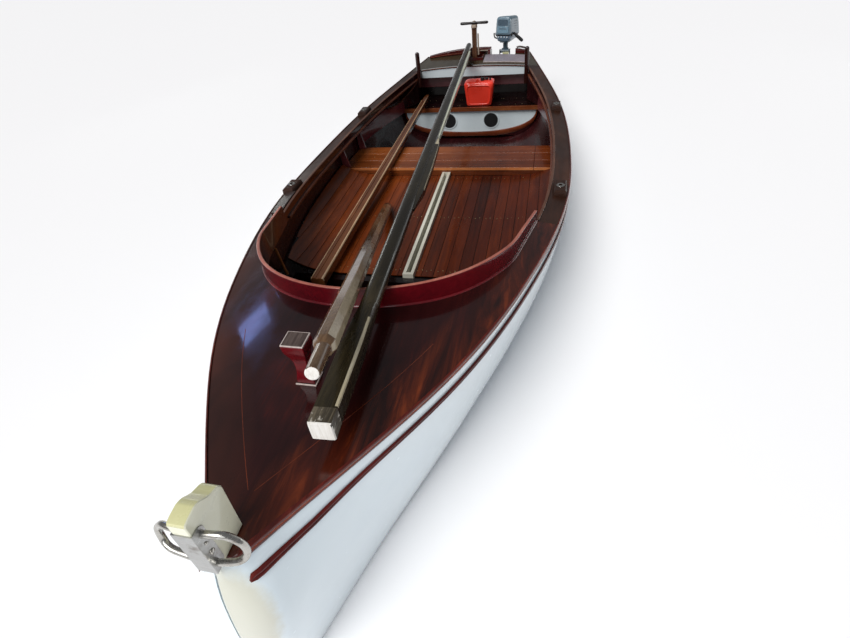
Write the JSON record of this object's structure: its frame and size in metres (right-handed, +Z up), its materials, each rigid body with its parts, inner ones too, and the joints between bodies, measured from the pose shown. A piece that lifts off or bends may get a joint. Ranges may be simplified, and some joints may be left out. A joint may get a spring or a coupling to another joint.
{
  "type": "decked sailing boat",
  "caption": "Open sailing boat with mahogany decks, oval coaming, centreboard, tiller rudder and a small outboard motor, spars laid down on board.",
  "frame": {"origin": "amidships on the centreline at the waterline", "axes": "+X to port, +Y aft, +Z up"},
  "size_m": [1.754, 5.3972, 1.3994],
  "materials": {
    "hull_white": "glossy white hull paint with a pale blue tint",
    "mahogany": "dark varnished mahogany",
    "rail_mahogany": "varnished rail",
    "sole_mahogany": "satin planks with dark seams",
    "crimson_varnish": "glossy red mahogany",
    "light_wood": "varnished lighter wood",
    "dark_spar": "dark varnish, worn white at the butt",
    "worn_spar": "dark varnish worn pale on its facets",
    "brown_spar": "brown varnish",
    "cream_paint": "cream paint",
    "steel": "brushed and slightly stained",
    "red_plastic": "moulded red plastic",
    "black_plastic": "black plastic",
    "motor_cowl": "grey-blue glossy cowl",
    "motor_metal": "grey-blue paint"
  },
  "bodies": {
    "boat": {"hull_fore_port": "hull_white", "hull_fore_starboard": "hull_white", "hull_aft_port": "hull_white", "hull_aft_starboard": "hull_white", "keel": "hull_white", "transom": "mahogany", "stem_head": "cream_paint", "stem_band": "steel", "bow_ring": "steel", "foredeck": "mahogany", "side_deck_port": "mahogany", "side_deck_starboard": "mahogany", "aft_deck": "mahogany", "coaming": "crimson_varnish", "cockpit_edge_port": "crimson_varnish", "cockpit_edge_starboard": "crimson_varnish", "gunwale_port": "rail_mahogany", "gunwale_starboard": "rail_mahogany", "rubbing_strake_port": "rail_mahogany", "rubbing_strake_starboard": "rail_mahogany", "mooring_bitt": "crimson_varnish", "sole_port": "sole_mahogany", "sole_starboard": "sole_mahogany", "fore_beam": "mahogany", "aft_beam": "mahogany", "centreboard_case": "cream_paint", "cross_board": "sole_mahogany", "seat_bulkhead": "hull_white", "inspection_cover_port": "black_plastic", "inspection_cover_starboard": "black_plastic", "aft_seat": "mahogany", "seat_rail": "light_wood", "seat_back": "crimson_varnish", "stern_beam": "hull_white", "stern_rail": "crimson_varnish", "stern_block": "crimson_varnish", "rudder_trunk": "crimson_varnish", "oarlock_pad_1_port": "mahogany", "oarlock_pad_1_starboard": "mahogany", "oarlock_pad_2_port": "mahogany", "oarlock_pad_2_starboard": "mahogany", "stern_post_port": "mahogany", "stern_post_starboard": "mahogany", "seat_arm_port": "light_wood", "seat_arm_starboard": "light_wood", "mast": "dark_spar", "octagonal_spar": "worn_spar", "long_spar": "brown_spar", "fuel_can": "red_plastic", "outboard_clamp": "motor_metal"},
    "rudder": {"rudder_stock": "steel", "rudder_blade": "mahogany", "tiller_post": "light_wood", "tiller_bar": "mahogany"},
    "centreboard": {"centreboard": "steel"},
    "motor_bracket": {"outboard_swivel": "motor_metal"},
    "motor": {"outboard_leg": "motor_metal", "outboard_cowl": "motor_cowl", "outboard_handle": "black_plastic"},
    "propeller": {"propeller": "motor_metal"}
  },
  "joints": [
    {"name": "rudder_turn", "type": "hinge", "parent": "boat", "child": "rudder", "pos_m": [0, 2.276, 0], "axis": [0, 0, 1], "range_deg": [-35, 35]},
    {"name": "centreboard_drop", "type": "hinge", "parent": "boat", "child": "centreboard", "pos_m": [0, -0.57, -0.2], "axis": [1, 0, 0], "range_deg": [-60, 0]},
    {"name": "motor_tilt", "type": "hinge", "parent": "boat", "child": "motor_bracket", "pos_m": [0.262, 2.545, 0.545], "axis": [1, 0, 0], "range_deg": [0, 70]},
    {"name": "motor_steer", "type": "hinge", "parent": "motor_bracket", "child": "motor", "pos_m": [0.262, 2.61, 0.5], "axis": [0, 0, 1], "range_deg": [-17, 53]},
    {"name": "propeller_spin", "type": "hinge", "parent": "motor", "child": "propeller", "pos_m": [0.29908, 2.72413, -0.15], "axis": [0.309, 0.9511, 0], "continuous": true}
  ]
}
